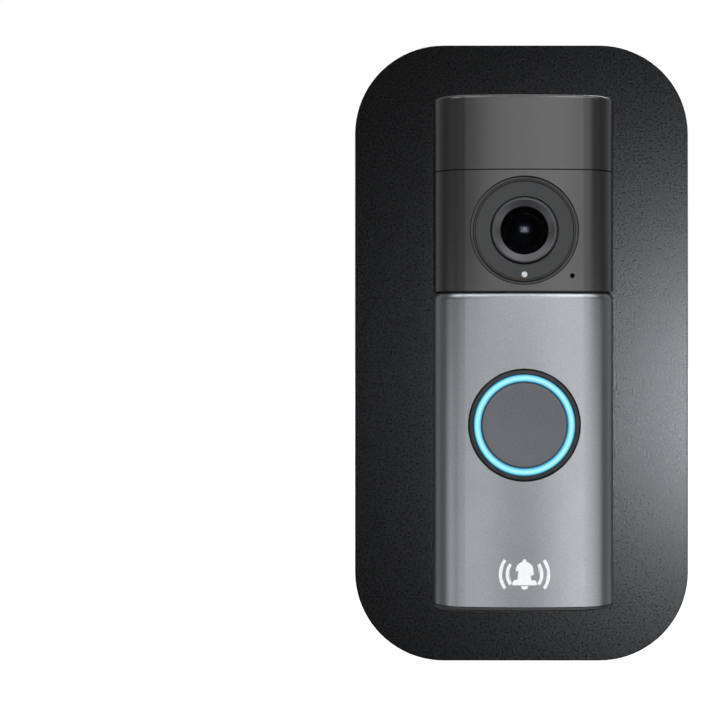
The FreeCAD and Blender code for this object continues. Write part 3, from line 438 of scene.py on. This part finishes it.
def arc_points(cx, cz, radius, start, stop, count):
    """Points on an arc in the XZ plane, angles in degrees from +X towards +Z."""
    points = []
    for step in range(count + 1):
        angle = math.radians(start + (stop - start) * step / count)
        points.append((cx + radius * math.cos(angle), cz + radius * math.sin(angle)))
    return points


def bell_outline():
    """Dome, flared mouth and lip of the bell, in millimetres about (0, 0)."""
    right = arc_points(0, 1.0, 2.3, 90, 0, 10)
    right += [(2.3, -0.6), (2.55, -1.35), (3.05, -2.0), (3.2, -2.35)]
    right += arc_points(2.95, -2.55, 0.3, 0, -90, 4)
    left = [(-x, z) for x, z in reversed(right[1:])]
    return right + left


def sign_outlines():
    """Outlines of the whole sign: bell, clapper, knob and two sound waves on each side."""
    clapper = arc_points(0, -3.05, 0.95, 0, -180, 12)
    knob = arc_points(0, 3.45, 0.5, 0, 360, 16)[:-1]
    outlines = [bell_outline(), clapper, knob]
    wave_width, half_angle, steps = 0.8, 36, 12
    for radius in (4.9, 6.7):
        for middle in (0, 180):
            first, last = middle - half_angle, middle + half_angle
            outer = arc_points(0, 0, radius, first, last, steps)
            inner = arc_points(0, 0, radius - wave_width, last, first, steps)
            outlines.append(outer + inner)
    return outlines


def printed_shape(outline, base_z, proud, sunk):
    """Outline as a thin layer on the faceplate's curve: proud above the surface, sunk below it."""
    bm = bmesh.new()
    bm.faces.new([bm.verts.new((x * MM, 0, base_z + z * MM)) for x, z in outline])
    bmesh.ops.triangulate(bm, faces=bm.faces)
    bmesh.ops.subdivide_edges(bm, edges=bm.edges, cuts=2, use_grid_fill=True)
    bmesh.ops.solidify(bm, geom=bm.faces[:], thickness=proud + sunk)
    bmesh.ops.recalc_face_normals(bm, faces=bm.faces)
    mean = sum(vert.co.y for vert in bm.verts) / len(bm.verts)
    for vert in bm.verts:
        vert.co.y = skin_y(vert.co.x) + (-proud if vert.co.y < mean else sunk)
    return bm


def bell_sign(material):
    """Printed bell, low on the faceplate."""
    base_z = FACE_LOW.z + 8.6 * MM
    merged = bmesh.new()
    for outline in sign_outlines():
        shape = printed_shape(outline, base_z, proud=0.06 * MM, sunk=0.05 * MM)
        part = bpy.data.meshes.new("sign_part")
        shape.to_mesh(part)
        shape.free()
        merged.from_mesh(part)
        bpy.data.meshes.remove(part)
    mesh = bpy.data.meshes.new("bell_sign")
    merged.to_mesh(mesh)
    merged.free()
    mesh.materials.append(material)
    piece = bpy.data.objects.new("bell_sign", mesh)
    bpy.context.scene.collection.objects.link(piece)
    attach(piece, "faceplate")


SEGMENTS = 32                # round a wall screw
HEAD_R, NECK_R = 3.75 * MM, 1.7 * MM
CORE_R, THREAD_R = 1.35 * MM, 2.0 * MM
PITCH = 1.7 * MM
STEPS_PER_TURN = 12
HEAD_DEPTH = 2.0 * MM
RIM_DEPTH = 0.25 * MM        # the head's straight rim, before it tapers
FADE_IN = 1.5 * MM           # the thread rises to its full height over this length
POINT_LENGTH = 5.0 * MM      # the screw tapers to its point over this length
END_GAP = 0.2 * MM           # the last ring lies this far before the tip
RECESS_DEPTH = 1.1 * MM
ARM_R, CORNER_R = 1.9 * MM, 0.75 * MM        # how far out the recess reaches on its arms and between them


def thread_radius(y, k, tip_y):
    """Radius of the threaded part at depth y behind the wall plane, at segment k of the turn."""
    phase = (y / PITCH - k / SEGMENTS) % 1.0
    half_width, sharpness = 0.26, 0.8
    crest = max(0.0, 1.0 - abs(phase - 0.5) / half_width) ** sharpness
    to_tip = min(1.0, (tip_y - y) / POINT_LENGTH)
    start = min(1.0, y / FADE_IN)
    smallest = 0.04
    return (CORE_R + (THREAD_R - CORE_R) * crest * start) * max(smallest, to_tip)


def screw_rings(head_y, tip_y):
    """Rows of (y, radii) from the head's face to just before the tip."""
    rings = [(head_y, [HEAD_R] * SEGMENTS), (head_y + RIM_DEPTH, [HEAD_R] * SEGMENTS)]
    rings += [(head_y + HEAD_DEPTH, [NECK_R] * SEGMENTS), (0.0, [NECK_R] * SEGMENTS)]
    length = tip_y - END_GAP
    steps = int(length / PITCH * STEPS_PER_TURN)
    for i in range(1, steps + 1):
        y = length * i / steps
        rings.append((y, [thread_radius(y, k, tip_y) for k in range(SEGMENTS)]))
    return rings


def threaded_screw(name, z, material):
    """Countersunk wood screw along +Y with a cut thread, a neck and a cross recess."""
    low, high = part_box("wall_screws")
    head_y, tip_y = low.y, high.y
    angles = [2 * math.pi * k / SEGMENTS for k in range(SEGMENTS)]
    rings = screw_rings(head_y, tip_y)
    verts, faces = [], []
    for y, radii in rings:
        for angle, radius in zip(angles, radii):
            verts.append((radius * math.cos(angle), y, z + radius * math.sin(angle)))
    for i in range(len(rings) - 1):
        for k in range(SEGMENTS):
            a, b = i * SEGMENTS + k, i * SEGMENTS + (k + 1) % SEGMENTS
            faces.append((a, a + SEGMENTS, b + SEGMENTS, b))
    bottom, tip = len(verts), len(verts) + 1
    verts += [(0, head_y + RECESS_DEPTH, z), (0, tip_y, z)]
    last = (len(rings) - 1) * SEGMENTS
    # the cross recess: its edge lies far out on four arms and close in between them, and its floor slopes
    # down to the middle
    edge = len(verts)
    arm_share = 0.8
    for angle in angles:
        on_arm = abs(math.cos(2 * angle)) > arm_share
        radius = ARM_R if on_arm else CORNER_R
        verts.append((radius * math.cos(angle), head_y, z + radius * math.sin(angle)))
    for k in range(SEGMENTS):
        following = (k + 1) % SEGMENTS
        faces.append((k, following, edge + following, edge + k))
        faces.append((edge + k, edge + following, bottom))
        faces.append((last + following, last + k, tip))
    piece = mesh_object(name, verts, faces, material)
    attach(piece, "root")
    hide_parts("wall_screws")


# ---------------------------------------------------------------- studio
FLOOR_Z = -0.60              # low, since the object hangs on a wall and its underside can be looked at
BOX_REACH = 0.70             # from the object's axis to the softboxes round it
WHITE = (1.0, 1.0, 1.0)


def area_light(name, place, target, size, power, color=WHITE):
    """Rectangular softbox at place, aimed at target: width and height in metres, power in watts."""
    data = bpy.data.lights.new(name, "AREA")
    data.shape = "RECTANGLE"
    data.size, data.size_y = size
    data.energy = power
    data.color = color
    light = bpy.data.objects.new(name, data)
    light.location = place
    aim = Vector(target) - Vector(place)
    light.rotation_mode = "QUATERNION"
    light.rotation_quaternion = aim.to_track_quat("-Z", "Y")
    bpy.context.scene.collection.objects.link(light)
    return light


def only_on(light, name, objects):
    """Light linking: the light reaches only these objects."""
    group = bpy.data.collections.new(name)
    for thing in objects:
        group.objects.link(thing)
    light.light_linking.receiver_collection = group


def floor():
    """Wide pale floor that only the camera sees: it shows in no reflection and gives no bounced light."""
    half = 60.0
    corners = [(x * half, y * half, FLOOR_Z) for x, y in ((-1, -1), (1, -1), (1, 1), (-1, 1))]
    g = Graph("pale_floor", (0.86, 0.86, 0.86), roughness=0.8)
    g.set(0.1, "Specular IOR Level")
    plane = mesh_object("floor", corners, [(0, 1, 2, 3)], g.material)
    plane.visible_glossy = False
    plane.visible_diffuse = False
    plane.visible_transmission = False
    return plane


def world():
    """Bright surroundings behind the object and dim ones in front, so that dark gloss stays dark.

    The camera itself sees plain white."""
    scene_world = bpy.data.worlds.new("studio")
    scene_world.use_nodes = True
    tree = scene_world.node_tree
    background = tree.nodes["Background"]
    coords = tree.nodes.new("ShaderNodeTexCoord")
    split = tree.nodes.new("ShaderNodeSeparateXYZ")
    tree.links.new(coords.outputs["Generated"], split.inputs["Vector"])
    ramp = tree.nodes.new("ShaderNodeMapRange")
    ramp.interpolation_type = "SMOOTHSTEP"
    for key, value in {"From Min": -0.3, "From Max": 1.0, "To Min": 0.045, "To Max": 0.6}.items():
        ramp.inputs[key].default_value = value
    tree.links.new(split.outputs["Y"], ramp.inputs["Value"])
    path = tree.nodes.new("ShaderNodeLightPath")
    seen = tree.nodes.new("ShaderNodeMix")
    seen.inputs["B"].default_value = 1.0
    tree.links.new(path.outputs["Is Camera Ray"], seen.inputs["Factor"])
    tree.links.new(ramp.outputs["Result"], seen.inputs["A"])
    tree.links.new(seen.outputs["Result"], background.inputs["Strength"])
    background.inputs["Color"].default_value = (1, 1, 1, 1)
    bpy.context.scene.world = scene_world


def softbox(name, bearing, span, low, high, radiance, receivers):
    """Upright softbox on an arc in front of the object.

    Bearing and span are in degrees, from -Y towards +X, and low and high are heights."""
    angle = math.radians(bearing)
    place = (BOX_REACH * math.sin(angle), -BOX_REACH * math.cos(angle), (low + high) / 2)
    width = 2 * BOX_REACH * math.tan(math.radians(span / 2))
    power = radiance * math.pi * width * (high - low)
    light = area_light(name, place, (0, 0, place[2]), (width, high - low), power)
    only_on(light, name + "_receivers", receivers)


# bearing, span, low, high, radiance
SOFTBOXES = [
    # from left to right, above and below the height of the plate's middle
    (-62, 28, 0.0, 0.35, 0.12),
    (-62, 28, -0.40, 0.0, 1.3),
    (-33, 20, 0.0, 0.35, 0.15),
    (-31, 22, -0.40, 0.0, 1.3),
    (-9, 8, 0.0, 0.35, 1.5),
    (-12, 9, -0.40, 0.0, 2.8),
    (1, 13, 0.0, 0.35, 1.8),
    (1, 13, -0.40, 0.0, 0.2),
    (12, 9, 0.0, 0.35, 2.2),
    (12, 9, -0.40, 0.0, 1.6),
    (20, 7, 0.0, 0.35, 1.4),
    (20, 7, -0.40, 0.0, 3.5),
    (35, 20, 0.0, 0.35, 0.9),
    (38, 28, -0.40, 0.0, 1.6),
    (64, 28, 0.0, 0.35, 0.1),
    (64, 28, -0.40, 0.0, 1.15),
    # high ones, for the faceplate's bevel and the unit's upper edges
    (-16, 12, 0.45, 1.1, 5.0),
    (0, 50, 0.85, 1.25, 2.5),
    (18, 14, 0.40, 1.1, 7.0),
    (-50, 36, 0.40, 1.1, 3.0),
    (50, 36, 0.40, 1.1, 3.0),
]


def lights(stage_floor):
    """The plate, the lenses and the rest each have lights of their own, and two lights reach them all."""
    plate = NODES["wall_plate"]
    lenses = [NODES["front_lens"], NODES["second_lens"]]
    apart = (plate, stage_floor, *lenses)
    unit = [thing for thing in bpy.data.objects if thing.type == "MESH" and thing not in apart]
    for index, box in enumerate(SOFTBOXES):
        softbox(f"box_{index}", *box, unit)
    cool = (0.92, 0.96, 1.0)
    plate_side = (0.045, 0, -0.005)
    key = area_light("plate_key", (0.15, -0.50, -0.03), plate_side, (0.06, 0.09), 0.095, cool)
    key.data.spread = math.radians(50)
    only_on(key, "plate_key_receivers", [plate])
    # nothing but the plate itself casts a shadow in this light
    key.light_linking.blocker_collection = key.light_linking.receiver_collection
    lens_front = (0, -0.03, 0.032)
    glint = area_light("lens_glint", (0.01, -0.60, 0.10), lens_front, (0.24, 0.18), 1.2)
    only_on(glint, "lens_receivers", lenses)
    area_light("behind", (0.25, 0.60, 0.35), (0, 0, 0), (0.25, 0.5), 3)
    area_light("overhead", (0.1, 0.1, 1.2), (0, 0, 0), (1.2, 1.2), 4)
    sun_data = bpy.data.lights.new("floor_sun", "SUN")
    sun_data.energy = 3.6
    sun_data.angle = math.radians(40)
    sun = bpy.data.objects.new("floor_sun", sun_data)
    bpy.context.scene.collection.objects.link(sun)
    only_on(sun, "floor_receivers", [stage_floor])


def camera():
    """Straight on to the plate's face, a little left of its middle, with the object in the right half."""
    distance, aside = 0.480, 0.014
    frame_width = 0.1989                 # what the picture spans at the plate's front
    object_shift, rise = -0.2243, -0.0097            # in shares of the picture's width
    data = bpy.data.cameras.new("camera")
    data.sensor_width = 36.0
    data.lens = data.sensor_width * distance / frame_width
    data.shift_x = object_shift + aside / frame_width
    data.shift_y = rise
    data.clip_start = 0.01
    data.clip_end = 200
    eye = bpy.data.objects.new("camera", data)
    eye.location = (-aside, PLATE_LOW.y - distance, 0)
    eye.rotation_euler = (math.radians(90), 0, 0)
    bpy.context.scene.collection.objects.link(eye)
    bpy.context.scene.camera = eye


def picture_settings():
    """Plain colours, noise removed and enough bounces for the glass."""
    scene = bpy.context.scene
    scene.view_settings.view_transform = "Standard"
    scene.view_settings.look = "None"
    scene.cycles.use_denoising = True
    scene.cycles.max_bounces = 10
    scene.cycles.transmission_bounces = 8
    scene.cycles.caustics_refractive = True


# ---------------------------------------------------------------- everything
camera()
picture_settings()
world()
SLOTS = slot_materials()
dress_nodes(SLOTS)
bell_sign(white_ink())
SCREW_Z = 50 * MM            # the wall screws' height above and below the plate's middle
threaded_screw("wall_screw_lower", -SCREW_Z, SLOTS["zinc_steel"])
threaded_screw("wall_screw_upper", SCREW_Z, SLOTS["zinc_steel"])
lights(floor())
